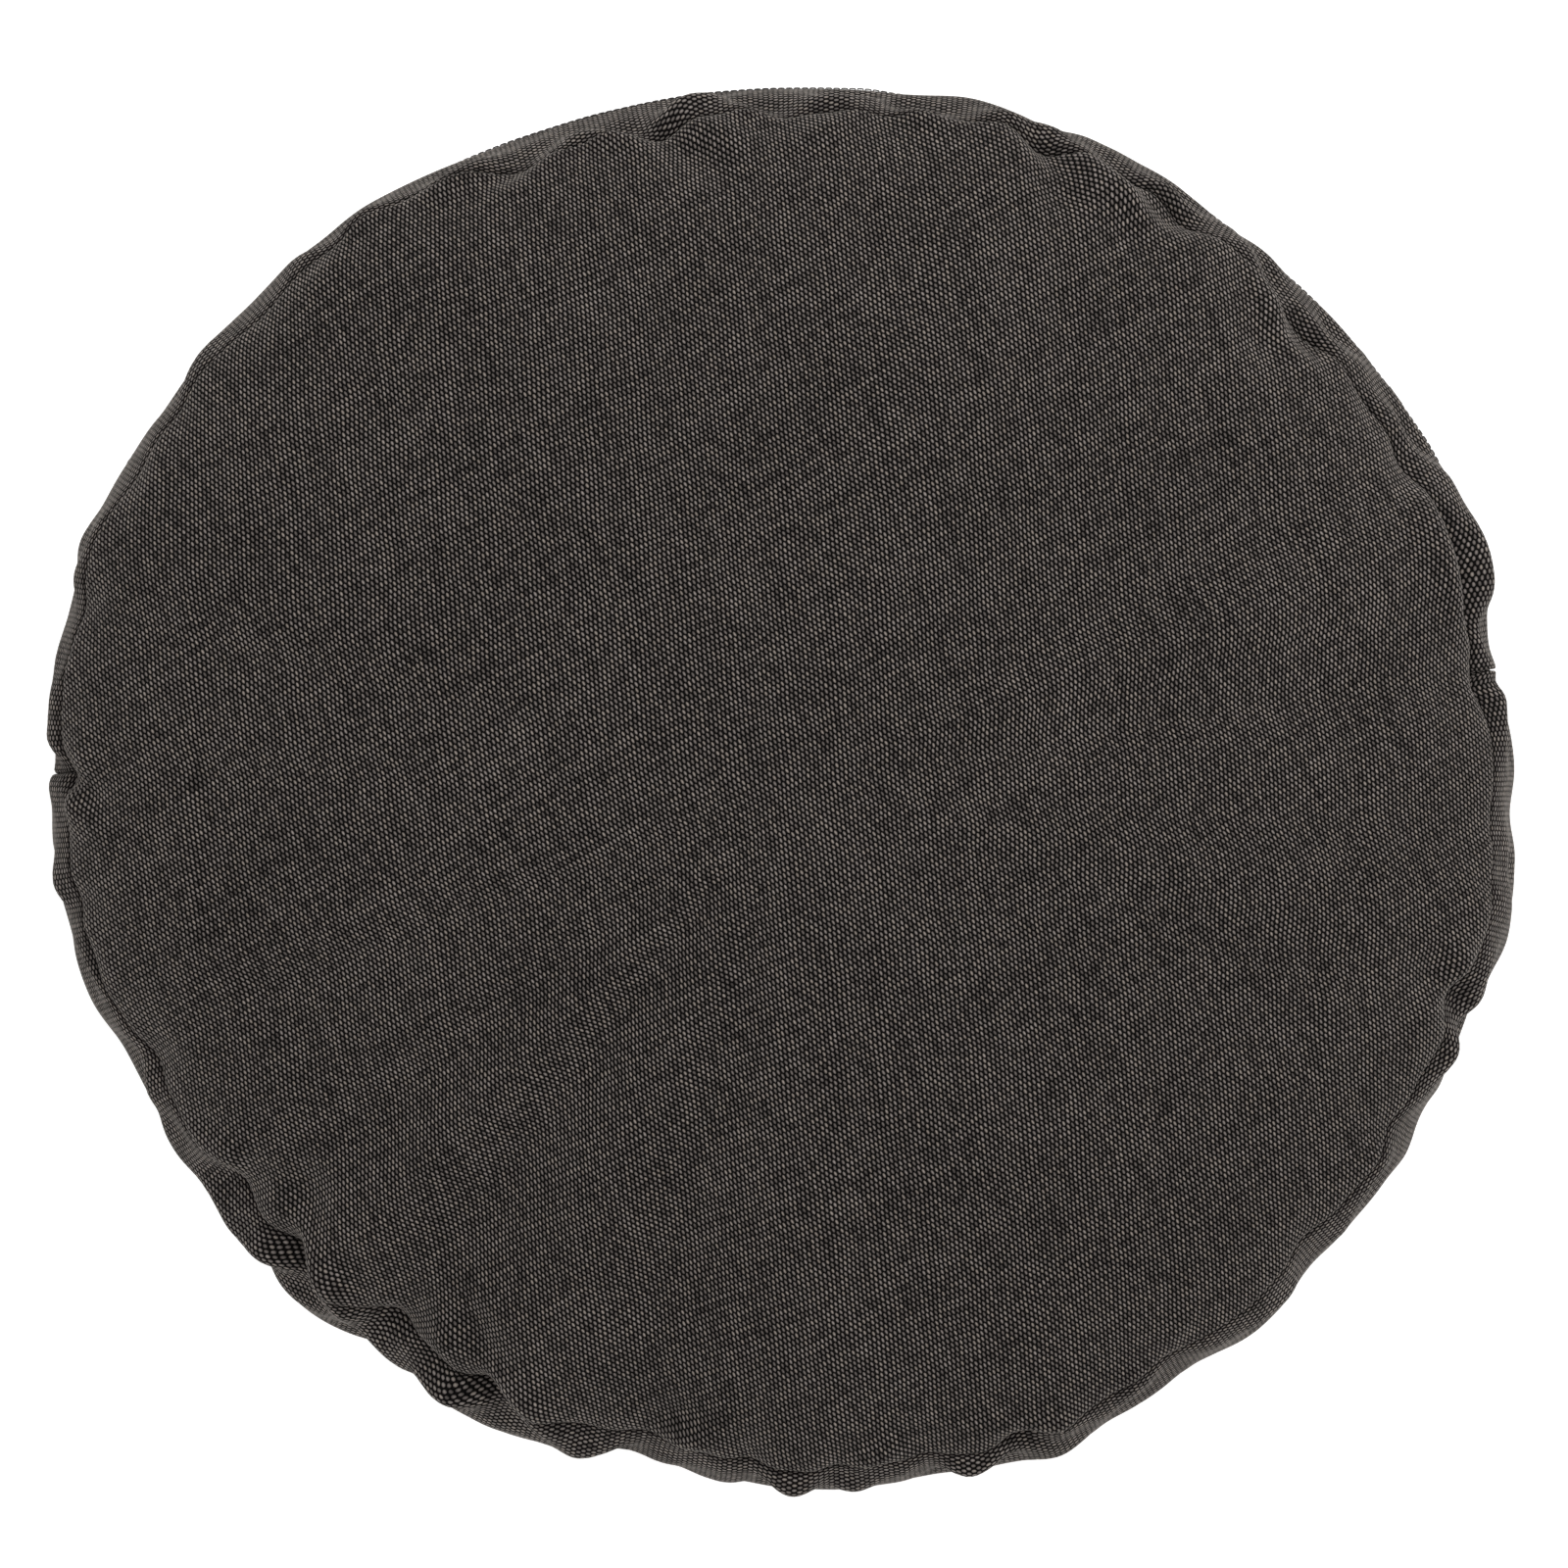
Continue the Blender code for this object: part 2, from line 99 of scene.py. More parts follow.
# soft lumps of the outline: turn, half width in degrees, millimetres outwards
outlineLumps = [
    (3, 5, -3), (12, 4, -5), (16, 3, -3), (24, 7, 4), (40, 10, 3.5), (66, 12, 7.5),
    (106, 14, -2.5), (131, 8, 3.5), (153, 7, 2.5), (165, 12, 1), (179, 6, -2), (174.5, 3, 2),
    (200, 4, 4), (207, 10, -5), (215, 5, 3.5), (221.5, 3.5, -3), (230, 4, 6), (238, 4, -4.5),
    (248, 7, 6), (259, 5, -4), (270, 4, 1.5), (283, 12, 4.5), (292, 4.5, 6), (307, 5, 4.5),
    (322, 8, 3.5), (335, 12, -3), (349, 4, 4), (355.5, 3, -3.5),
]
# where the top seam sits further in than usual, so that more of the band shows
seamShifts = [(40, 22, 5), (92, 16, 3), (140, 30, -6), (182, 16, -4), (222, 14, 6), (245, 12, 6),
              (300, 20, 2), (8, 10, -2)]
# where the seam is pulled down into a crease
seamDips = [(20.5, 7, 9), (226, 5, 3), (243, 8, 5), (101, 3, 4), (69, 4, 3), (338, 4, 4),
            (274, 3, 3), (288, 3, 3), (179, 3, 4), (9.5, 2.5, 4)]
# puckers across the seam: turn, slant, half width, depth, length up the top, length down the band
puckers = [
    (9.8, 0, 3.2, 6, 6, 46), (16, 0.3, 7, 2.5, 10, 40), (31, -0.5, 8, 2.5, 30, 30),
    (43.7, 0.5, 9, 3.5, 60, 25), (57, 0.6, 10, 5, 58, 30), (69.4, -0.5, 9, 6, 55, 24),
    (82, 0.3, 7, 2.5, 16, 30), (91, -0.4, 8, 3, 20, 26), (100.6, -0.8, 9, 7, 60, 22),
    (112, 0.2, 8, 3, 18, 30), (127, -0.3, 8, 2.5, 16, 30), (145, 0.5, 9, 2, 14, 30),
    (163, 0, 7, 2, 12, 34), (179.1, 0.5, 6, 6, 30, 44), (191, -0.4, 7, 2.5, 16, 40),
    (207, 0.3, 8, 3, 22, 40), (219, 0.5, 9, 5, 45, 36), (227, -0.6, 9, 7, 50, 34),
    (236, 0.6, 7, 5, 30, 36), (246, -0.7, 10, 8, 56, 32), (258.7, 0.5, 8, 6, 36, 38),
    (267, -0.3, 6, 4, 20, 40), (274, 0.4, 6, 5, 28, 40), (281, -0.2, 6, 4, 28, 40),
    (288.3, 0.3, 8, 5, 34, 40), (301, -0.4, 8, 2.5, 18, 40), (316, 0.3, 8, 2.5, 16, 40),
    (327, -0.4, 7, 3, 20, 40), (338.4, 0.7, 8, 6, 42, 36), (351, -0.2, 7, 2.5, 12, 40),
]


def outline(turn, inset):
    # the outline's point that faces this turn, and how far it is moved in
    x, y = np.cos(turn * degree), np.sin(turn * degree)
    back = np.abs(y) > math.cos(arcSplit) - 1e-9
    cx = np.where(back, 0, np.sign(x) * sideCentre)
    cy = np.where(back, np.sign(y) * backCentre, 0)
    radius = np.where(back, backRadius, sideRadius)
    return cx + (radius - inset) * x, cy + (radius - inset) * y


def lumps(turn, places):
    # a sum of smooth lumps round the cushion
    total = np.zeros_like(turn)
    for centre, half, height in places:
        away = (turn - centre + 180) % 360 - 180
        total = total + height * mm * np.exp(-(away / half) ** 2 / 2)
    return total


def evenTurns():
    # turns against the share of the way round, evenly spaced along the seam
    turns = np.linspace(cover["rightJoin"], cover["rightJoin"] + 360, 7201)
    x, y = outline(turns, seamInset)
    way = np.concatenate([[0], np.cumsum(np.hypot(np.diff(x), np.diff(y)))])
    return way / way[-1], turns, way[-1]


seamScallops = {"seed": 5, "count": 46, "wander": (-0.3, 0.3), "halfWidths": (1.6, 3.2),
                "heights": (-2.4, 2.6)}


def scallops():
    # small uneven waves of the seam between its puckers
    draw = np.random.default_rng(seamScallops["seed"])
    made = []
    for k in range(seamScallops["count"]):
        turn = (k + draw.uniform(*seamScallops["wander"])) * 360 / seamScallops["count"]
        made.append((turn, draw.uniform(*seamScallops["halfWidths"]), draw.uniform(*seamScallops["heights"])))
    return made


seamShifts += scallops()
wayShare, wayTurn, seamLength = evenTurns()
leftShare = float(np.interp(cover["leftJoin"], wayTurn, wayShare))
bandRadius = ((upperSeam - girth) ** 2 + seamInset ** 2) / (2 * seamInset)
bandAngle = math.asin((upperSeam - girth) / bandRadius)
zipTurns = [90 + side * cover["zipHalfTurn"] for side in (-1, 1)]
slotHalf = cover["slotHalf"]
zipHold = {"beyond": 3, "softness": 1.5, "fall": 6 * mm}  # degrees at its ends, then up the band
pullShelter = {"turn": 39, "halfTurn": 9, "swell": 1.5 * mm, "away": 14 * mm, "halfWidth": 7 * mm}


def zipGuard(turn, up):
    # 1 on the zip's line, falling to 0 away from it, where the cloth may not wander
    past, soft = zipHold["beyond"], zipHold["softness"]
    inside = 1 / (1 + np.exp(-(turn % 360 - zipTurns[0] + past) / soft))
    inside = inside / (1 + np.exp((turn % 360 - zipTurns[1] - past) / soft))
    return inside * np.exp(-(np.maximum(np.abs(up) - slotHalf, 0) / zipHold["fall"]) ** 2)


def smoothStep(value):
    value = np.clip(value, 0, 1)
    return value * value * (3 - 2 * value)


def seamWave(turn):
    return cover["seamWaveHeight"] * np.sin(turn * degree * cover["seamWaves"] + 1)


# the plump shape that the cloth starts from
def topShape(share, turn):
    inset = seamInset + lumps(turn, seamShifts) - lumps(turn, outlineLumps)
    x, y = outline(turn, inset)
    z = upperSeam + cover["crownRise"] * (1 - share ** cover["domePower"])
    z = z + seamWave(turn) * share ** 3
    return np.stack([share * x, share * y, z], -1)


def bandShape(rise, turn):
    # rise goes from 1 at the top seam to -1 at the bottom one
    angle = rise * bandAngle
    inset = bandRadius * (1 - np.cos(angle))
    moved = lumps(turn, seamShifts) * ((1 + rise) / 2) ** 2 - lumps(turn, outlineLumps)
    guard = zipGuard(turn, angle * bandRadius)
    inset = inset + moved * (1 - guard)
    # the band swells above and below the pull
    beside = np.exp(-((np.abs(angle) * bandRadius - pullShelter["away"]) / pullShelter["halfWidth"]) ** 2)
    nearPull = np.exp(-((turn - pullShelter["turn"]) / pullShelter["halfTurn"]) ** 2)
    inset = inset - pullShelter["swell"] * beside * nearPull * (1 - guard)
    x, y = outline(turn, inset)
    z = girth + bandRadius * np.sin(angle)
    z = z + seamWave(turn) * np.clip(rise, 0, 1) ** 2
    return np.stack([x, y, z], -1)


def bottomShape(share, turn):
    x, y = outline(turn, seamInset - lumps(turn, outlineLumps))
    lift = np.clip((share - cover["floorFrom"]) / (1 - cover["floorFrom"]), 0, 1)
    z = cover["floorGap"] + (lowerSeam - cover["floorGap"]) * lift ** 2
    return np.stack([share * x, share * y, z], -1)


def flatDisc(share, turn, height):
    x, y = outline(turn, seamInset)
    grow = cover["flatGrowth"] * share
    return np.stack([grow * x, grow * y, np.full_like(x, height)], -1)


# the welded cloth: rings from the crown to the bottom, each with its share and place round
def clothRings():
    columns = int(round(seamLength / cover["cell"] / 2)) * 2
    zipColumns = int(round(columns * leftShare))
    even = np.concatenate([np.linspace(0, leftShare, zipColumns, endpoint=False),
                           np.linspace(leftShare, 1, columns - zipColumns, endpoint=False)])
    steps = int(round(halfLength / cover["cell"]))
    disc = []
    for k in range(steps + 1):
        share = k / steps
        if k > steps - 4:
            disc.append((share, even))
        else:
            count = max(1, int(round(columns * share)))
            disc.append((share, (np.arange(count) + 0.5 * (k % 2)) / count))
    slot = slotHalf / (bandRadius * bandAngle)
    upper = np.linspace(1, slot, 9)
    band = np.concatenate([upper[1:], [0], -upper[::-1][:-1]])
    rings = [("top", share, ways) for share, ways in disc]
    rings += [("band", rise, even) for rise in band]
    rings += [("bottom", share, ways) for share, ways in reversed(disc)]
    return rings, zipColumns


def joinRings(first, firstWays, second, secondWays):
    # faces between two rings of vertices, as quads where they match and triangles elsewhere
    if len(first) == len(second) and abs(firstWays[0] - secondWays[0]) < 1e-9:
        count = len(first)
        following = [(i + 1) % count for i in range(count)]
        return [(first[i], second[i], second[j], first[j]) for i, j in enumerate(following)]
    faces, i, j = [], 0, 0
    a, b = len(first), len(second)
    while i < a or j < b:
        nextA = firstWays[(i + 1) % a] + (i + 1) // a if a > 1 else 2
        nextB = secondWays[(j + 1) % b] + (j + 1) // b if b > 1 else 2
        if a > 1 and (j >= b or (i < a and nextA <= nextB) or b == 1):
            faces.append((first[i % a], second[j % b], first[(i + 1) % a]))
            i += 1
            if b == 1 and i >= a:
                break
        else:
            faces.append((first[i % a], second[j % b], second[(j + 1) % b]))
            j += 1
            if a == 1 and j >= b:
                break
    return faces


def buildCloth():
    rings, zipColumns = clothRings()
    shape, flat, part, param, faces, faceRing = [], [], [], [], [], []
    bandHalf = cover["bandArc"] / 2
    starts = []
    for kind, share, ways in rings:
        starts.append(sum(len(block) for block in shape))
        turn = np.interp(ways, wayShare, wayTurn)
        level = np.full_like(turn, share)
        if kind == "top":
            shape.append(topShape(level, turn))
            flat.append(flatDisc(level, turn, bandHalf))
        elif kind == "band":
            shape.append(bandShape(level, turn))
            x, y = outline(turn, seamInset)
            grow = cover["flatGrowth"]
            flat.append(np.stack([grow * x, grow * y, level * bandHalf], -1))
        else:
            shape.append(bottomShape(level, turn))
            flat.append(flatDisc(level, turn, -bandHalf))
        part.append(np.full(len(turn), ("top", "band", "bottom").index(kind)))
        param.append(np.stack([level, turn, ways], -1))
    for ring in range(len(rings) - 1):
        first = list(range(starts[ring], starts[ring] + len(rings[ring][2])))
        second = list(range(starts[ring + 1], starts[ring + 1] + len(rings[ring + 1][2])))
        made = joinRings(first, rings[ring][2], second, rings[ring + 1][2])
        faces += made
        faceRing += [ring] * len(made)
    cloth = {"shape": np.concatenate(shape), "flat": np.concatenate(flat), "part": np.concatenate(part),
             "param": np.concatenate(param), "faces": faces, "faceRing": faceRing, "rings": rings,
             "starts": starts, "zipColumns": zipColumns}
    print("cloth:", len(cloth["shape"]), "vertices,", len(faces), "faces")
    return cloth


def vertexNormals(points, faces):
    mesh = bpy.data.meshes.new("normals")
    mesh.from_pydata(points.tolist(), [], faces)
    mesh.update()
    normals = np.zeros(len(points) * 3, np.float32)
    mesh.vertices.foreach_get("normal", normals)
    bpy.data.meshes.remove(mesh)
    return normals.reshape(-1, 3).astype(float)


def meridian(cloth):
    # how far each vertex is from the top seam in millimetres, up the top or down the band
    level = cloth["param"][:, 0]
    up = (1 - level) * halfLength / mm
    down = (1 - level) / 2 * cover["bandArc"] / mm
    return np.where(cloth["part"] == 0, up, np.where(cloth["part"] == 1, -down, -999.0))


# the larger ridges of the slack cloth: turn, place up from the seam, half length, half width, height, tilt
ridges = [
    (104, 1, 17, 4.5, 5.5, -0.35), (98, -8, 17, 4.5, 5.5, 0.3), (92, 1, 17, 4.5, 5, -0.35),
    (85, -9, 18, 4.5, 5, 0.3), (79, 1, 18, 4.5, 5.5, -0.3), (72, -7, 18, 5, 5.5, 0.35),
    (63, 10, 28, 6, 7, -0.35), (58, -6, 22, 5, 5.5, 0.25), (47, 9, 28, 6, 6.5, -0.4),
    (42, -7, 22, 5, 4, 0.2), (33, -7, 24, 5, 5, 0.15), (22, -14, 30, 4.5, 5, 0.05),
    (21, 10, 34, 6, 3.5, 0.05), (112, 12, 22, 6, 4, 0.4), (88, 14, 24, 7, 3.5, 0.3),
    (6, -8, 22, 5, 4, -0.15), (352, -12, 20, 5, 3.5, 0.2), (340, 7, 20, 6, 5, 0.35),
    (336, -10, 22, 5, 5, -0.3), (322, -6, 20, 5, 3.5, 0.25), (310, -12, 22, 5, 4, -0.2),
    (298, -5, 18, 5, 3.5, 0.3), (290, 6, 18, 5.5, 4.5, -0.4), (284, -8, 18, 5, 5, 0.3),
    (276, 5, 16, 5, 4, 0.35), (270, -10, 18, 5, 5, -0.3), (261, 6, 20, 6, 5, 0.4),
    (256, -12, 22, 5.5, 5.5, 0.3), (247, 8, 26, 6.5, 6, -0.4), (243, -9, 24, 6, 6, 0.35),
    (236, -18, 24, 5.5, 5, -0.2), (229, 6, 26, 6.5, 6, -0.45), (226, -8, 24, 6, 6, 0.4),
    (219, -18, 24, 6, 5, 0.2), (215, 5, 20, 6, 4, 0.3), (208, -9, 22, 5.5, 4.5, -0.3),
    (198, -4, 20, 5, 3.5, 0.25), (190, -12, 20, 5, 3.5, -0.2), (182, 4, 16, 5, 3.5, 0.4),
    (172, -8, 22, 5, 3, 0.2), (158, -5, 24, 5, 2.5, -0.2), (143, -6, 24, 5, 2.5, 0.2),
    (128, -5, 22, 5, 3, -0.25), (116, -4, 20, 5, 3, 0.25),
]
smallRidges = {
    "seed": 11,
    "count": 90,
    "wander": (-3, 3),         # degrees
    "places": (-34, 18),
    "lengths": (9, 20),
    "widths": (3.8, 5.5),
    "heights": (0.8, 2.8),
    "tilts": (-0.5, 0.5),
}
ridgeForm = {"bow": 0.006, "valley": 0.8, "valleyAway": 1.8}  # of its height and width
puckerForm = {"spread": 0.4, "banks": 0.45, "bankAway": 1.9, "bankWidth": 0.8}  # of its width and depth
dipForm = {"halfWidth": 3.3, "banks": 0.25, "bankAway": 12, "bankWidth": 6}  # in mm, banks of its depth


def ridgeHeights(turn, up):
    # each ridge is a long swelling with a valley on its outer side
    draw = np.random.default_rng(smallRidges["seed"])
    every = list(ridges)
    sizes = ("places", "lengths", "widths", "heights", "tilts")
    for k in range(smallRidges["count"]):
        centre = k * 360 / smallRidges["count"] + draw.uniform(*smallRidges["wander"])
        drawn = [draw.uniform(*smallRidges[size]) for size in sizes]
        every.append((centre, *drawn))
    total = np.zeros(len(turn))
    for centre, place, length, width, height, tilt in every:
        along = ((turn - centre + 180) % 360 - 180) * degree * halfLength / mm
        across = (up - place - tilt * along + ridgeForm["bow"] * along ** 2) / width
        valley = ridgeForm["valley"] * np.exp(-(across + ridgeForm["valleyAway"]) ** 2)
        total += height * np.exp(-(along / length) ** 2) * (np.exp(-across ** 2) - valley)
    return total


def edgePairs(faces):
    pairs = {(min(a, b), max(a, b)) for face in faces for a, b in zip(face, face[1:] + face[:1])}
    return np.array(sorted(pairs))


def soften(values, pairs, rounds):
    # averages each vertex with its neighbours
    count = np.bincount(pairs.ravel(), minlength=len(values)).reshape((-1,) + (1,) * (values.ndim - 1))
    for _ in range(rounds):
        total = np.zeros_like(values)
        np.add.at(total, pairs[:, 0], values[pairs[:, 1]])
        np.add.at(total, pairs[:, 1], values[pairs[:, 0]])
        values = 0.5 * values + 0.5 * total / count
    return values


def addPuckers(cloth):
    normals = vertexNormals(cloth["shape"], cloth["faces"])
    up, turn = meridian(cloth), cloth["param"][:, 1]
    depth = np.zeros(len(up))
    for centre, slant, half, deep, above, below in puckers:
        away = (turn - centre + 180) % 360 - 180
        across = away * degree * halfLength / mm - slant * up
        reach = np.where(up > 0, above, below)
        fade = smoothStep(1 - np.abs(up) / reach)
        width = half * (1 + puckerForm["spread"] * np.abs(up) / reach)
        bank = np.exp(-((np.abs(across) / width - puckerForm["bankAway"]) / puckerForm["bankWidth"]) ** 2)
        depth += deep * fade * (np.exp(-(across / width) ** 2) - puckerForm["banks"] * bank)
    for centre, half, deep in seamDips:
        away = (turn - centre + 180) % 360 - 180
        along = np.exp(-(away / half) ** 2 / 2)
        bank = np.exp(-((np.abs(up) - dipForm["bankAway"]) / dipForm["bankWidth"]) ** 2)
        depth += deep * along * (np.exp(-(up / dipForm["halfWidth"]) ** 2) - dipForm["banks"] * bank)
    depth -= ridgeHeights(turn, up)
    bandUp = cloth["param"][:, 0] * cover["bandArc"] / 2
    guard = np.where(cloth["part"] == 1, zipGuard(turn, bandUp), 0)
    depth[cloth["part"] == 2] = 0
    cloth["pairs"] = edgePairs(cloth["faces"])
    depth = soften(depth, cloth["pairs"], 1) * (1 - guard)
    cloth["shape"] = cloth["shape"] - normals * depth[:, None] * mm


simulation = {
    "frames": 20,
    "vertexMass": 0.01,
    "pressure": 20,
    "stiffness": 40,
    "shearShare": 0.3,         # of the stiffness
    "damping": 5,
    "bending": 0.4,
    "pinStiffness": 4,
    "pinnedTo": (0.62, 0.84),  # shares of the top panel's radius, held and then free
    "heldBottom": 0.9,         # share of the bottom panel's radius that is held
    "cap": 8 * mm,             # furthest that the cloth may move
}


def simulateCloth(cloth):
    # the cover is cut wider than its seams, so it gathers there as it fills
    mesh = bpy.data.meshes.new("clothSimulation")
    mesh.from_pydata(cloth["shape"].tolist(), [], cloth["faces"])
    body = bpy.data.objects.new("clothSimulation", mesh)
    bpy.context.scene.collection.objects.link(body)
    body.shape_key_add(name="Basis")
    cut = body.shape_key_add(name="flatCut")
    cut.data.foreach_set("co", cloth["flat"].astype(np.float32).ravel())
    cut.value = 0
    level, turn = cloth["param"][:, 0], cloth["param"][:, 1]
    fixed, free = simulation["pinnedTo"]
    held = np.where(cloth["part"] == 0, smoothStep((free - level) / (free - fixed)), 0)
    held = np.where(cloth["part"] == 2, smoothStep((simulation["heldBottom"] - level) / 0.08), held)
    guard = zipGuard(turn, level * cover["bandArc"] / 2)
    held = np.where(cloth["part"] == 1, guard, held)
    group = body.vertex_groups.new(name="held")
    for step in range(1, 11):
        chosen = np.nonzero((held > (step - 0.5) / 10) & (held <= (step + 0.5) / 10))[0]
        group.add(chosen.tolist(), step / 10, "REPLACE")
    press = body.modifiers.new("press", "CLOTH")
    setting = press.settings
    setting.quality = 5
    setting.mass = simulation["vertexMass"]
    setting.tension_stiffness = setting.compression_stiffness = simulation["stiffness"]
    setting.shear_stiffness = simulation["stiffness"] * simulation["shearShare"]
    setting.bending_stiffness = simulation["bending"]
    setting.tension_damping = setting.compression_damping = simulation["damping"]
    setting.shear_damping = simulation["damping"]
    setting.use_pressure = True
    setting.uniform_pressure_force = simulation["pressure"]
    setting.vertex_group_mass = "held"
    setting.pin_stiffness = simulation["pinStiffness"]
    setting.rest_shape_key = cut
    setting.effector_weights.gravity = 0
    press.collision_settings.use_collision = False
    for step in range(1, simulation["frames"] + 1):
        bpy.context.scene.frame_set(step)
    settled = body.evaluated_get(bpy.context.evaluated_depsgraph_get())
    points = np.zeros(len(cloth["shape"]) * 3, np.float32)
    settled.data.vertices.foreach_get("co", points)
    bpy.context.scene.frame_set(1)
    bpy.data.objects.remove(body)
    moved = points.reshape(-1, 3).astype(float) - cloth["shape"]
    moved *= np.where(cloth["part"] == 0, smoothStep((level - fixed - 0.05) / 0.2), 1)[:, None]
    moved = soften(moved, cloth["pairs"], 1)
    length = np.linalg.norm(moved, axis=1)
    cap = simulation["cap"]
    moved *= (cap * np.tanh(length / cap) / np.maximum(length, 1e-9))[:, None]
    print("cloth moved", round(float(length.mean()) / mm, 2), "mm on average, at most",
          round(float(length.max()) / mm, 2))
    cloth["shape"] = cloth["shape"] + moved
    cloth["shape"][:, 2] = np.maximum(cloth["shape"][:, 2], cover["leastHeight"])


# the sewn panels, cut from the settled cloth
def isSlot(cloth, ring, wayMid):
    # the opening for the zip: the band's two middle rows, between the zip's ends
    if cloth["rings"][ring][0] != "band" or cloth["rings"][ring + 1][0] != "band":
        return False
    rises = cloth["rings"][ring][1], cloth["rings"][ring + 1][1]
    turn = float(np.interp(wayMid, wayShare, wayTurn))
    limit = slotHalf / (bandRadius * bandAngle) + 1e-6
    return max(map(abs, rises)) <= limit and zipTurns[0] < turn < zipTurns[1]


def panelOf(cloth, ring, wayMid):
    kinds = cloth["rings"][ring][0], cloth["rings"][ring + 1][0]
    if kinds == ("top", "top"):
        return "topPanel"
    if kinds == ("bottom", "bottom"):
        return "bottomPanel"
    if wayMid > leftShare:
        return "sideBand"
    if isSlot(cloth, ring, wayMid):
        return None
    above = cloth["rings"][ring][1] if kinds[0] == "band" else 1
    below = cloth["rings"][ring + 1][1] if kinds[1] == "band" else -1
    return "zipStripUpper" if above + below > 0 else "zipStripLower"


def ribCoordinates(cloth, index, panel, wayAfter):
    # where a vertex lies in the weave, in metres: along the ribs, then across them
    level, turn, way = cloth["param"][index]
    if panel in ("topPanel", "bottomPanel"):
        x, y = cloth["flat"][index][:2]
        angle = cover["ribAngle"] * degree
        return x * math.cos(angle) + y * math.sin(angle), y * math.cos(angle) - x * math.sin(angle)
    if wayAfter and way < 1e-9:
        way = 1.0
    rise = level if cloth["part"][index] == 1 else (1 if cloth["part"][index] == 0 else -1)
    return rise * cover["bandArc"] / 2, way * seamLength * cover["flatGrowth"]


def cutPanels(cloth):
    panels = {}
    for face, ring in zip(cloth["faces"], cloth["faceRing"]):
        ways = [cloth["param"][i][2] for i in face]
        after = max(ways) - min(ways) > 0.5
        if after:
            ways = [way + 1 if way < 0.5 else way for way in ways]
        name = panelOf(cloth, ring, sum(ways) / len(ways) % 1 if not after else 0.999)
        if name:
            panels.setdefault(name, []).append((face, after))
    return panels


seamRoll = [(0.38, 0.45), (0.3, 2.2), (0.3, 8.0)]  # millimetres away from the seam, and inwards


def makePanel(name, cloth, panelFaces, normals):
    built = bmesh.new()
    layer = built.loops.layers.uv.new("weave")
    made = {}
    for face, after in panelFaces:
        for index in face:
            if index not in made:
                made[index] = built.verts.new(cloth["shape"][index])
        new = built.faces.new([made[index] for index in face])
        new.smooth = True
        for loop, index in zip(new.loops, face):
            loop[layer].uv = ribCoordinates(cloth, index, name, after)
    source = {vertex: index for index, vertex in made.items()}
    rollEdges(built, layer, source, normals)
    mesh = bpy.data.meshes.new(name)
    built.to_mesh(mesh)
    built.free()
    piece = bpy.data.objects.new(name, mesh)
    bpy.context.scene.collection.objects.link(piece)
    smooth = piece.modifiers.new("smooth", "SUBSURF")
    smooth.levels = smooth.render_levels = 1
    smooth.boundary_smooth = "PRESERVE_CORNERS"
    wall = piece.modifiers.new("wall", "SOLIDIFY")
    wall.thickness = cover["thickness"]
    wall.offset = -1
    return piece


def rollEdges(built, layer, source, normals):
    # the raw edge of every panel turns in at its seam
    built.verts.ensure_lookup_table()
    edges = [edge for edge in built.edges if edge.is_boundary]
    rim = {vertex for edge in edges for vertex in edge.verts}
    inner = {}
    for vertex in rim:
        centre = Vector((0, 0, 0))
        for face in vertex.link_faces:
            centre += face.calc_center_median()
        towards = centre / len(vertex.link_faces) - vertex.co
        inward = -Vector(normals[source[vertex]])
        towards -= inward * towards.dot(inward)
        inner[vertex] = (towards.normalized(), inward, vertex.co.copy())
    previous, reached = {vertex: vertex for vertex in rim}, 0
    for aside, down in seamRoll[1:]:
        following = {}
        for vertex in rim:
            towards, inward, place = inner[vertex]
            following[vertex] = built.verts.new(place + towards * aside * mm + inward * down * mm)
        for edge in edges:
            loop = edge.link_loops[0]
            a, b = loop.vert, loop.link_loop_next.vert
            face = built.faces.new([previous[b], previous[a], following[a], following[b]])
            face.smooth = True
            ends = loop.link_loop_next[layer].uv.copy(), loop[layer].uv.copy()
            corners = [corner[layer].uv for corner in loop.face.loops]
            middle = sum(corners, Vector((0, 0))) / len(corners)
            outwards = ((ends[0] + ends[1]) / 2 - middle).normalized()
            near, far = ends[0] + outwards * reached * mm, ends[0] + outwards * down * mm
            shift = ends[1] - ends[0]
            for corner, uv in zip(face.loops, (near, near + shift, far + shift, far)):
                corner[layer].uv = uv
        previous, reached = following, down
    for vertex in rim:
        towards, inward, place = inner[vertex]
        vertex.co = place + towards * seamRoll[0][0] * mm + inward * seamRoll[0][1] * mm


# materials
def linear(code):
    # an sRGB hex value as linear colour
    values = [int(code[i:i + 2], 16) / 255 for i in (1, 3, 5)]
    return [v / 12.92 if v <= 0.04045 else ((v + 0.055) / 1.055) ** 2.4 for v in values] + [1]


def add(tree, kind, settings=(), links=()):
    # adds a node with its settings, and links into its sockets by number or name
    made = tree.nodes.new(kind)
    for key, value in dict(settings).items():
        if isinstance(key, int) or key in made.inputs:
            made.inputs[key].default_value = value
        else:
            setattr(made, key, value)
    for key, source in dict(links).items():
        tree.links.new(source, made.inputs[key])
    return made.outputs[0] if len(made.outputs) == 1 else made


def newMaterial(name, roughness, metallic=0.0):
    made = bpy.data.materials.new(name)
    made.use_nodes = True
    shader = made.node_tree.nodes["Principled BSDF"]
    shader.inputs["Roughness"].default_value = roughness
    shader.inputs["Metallic"].default_value = metallic
    return made, made.node_tree, shader


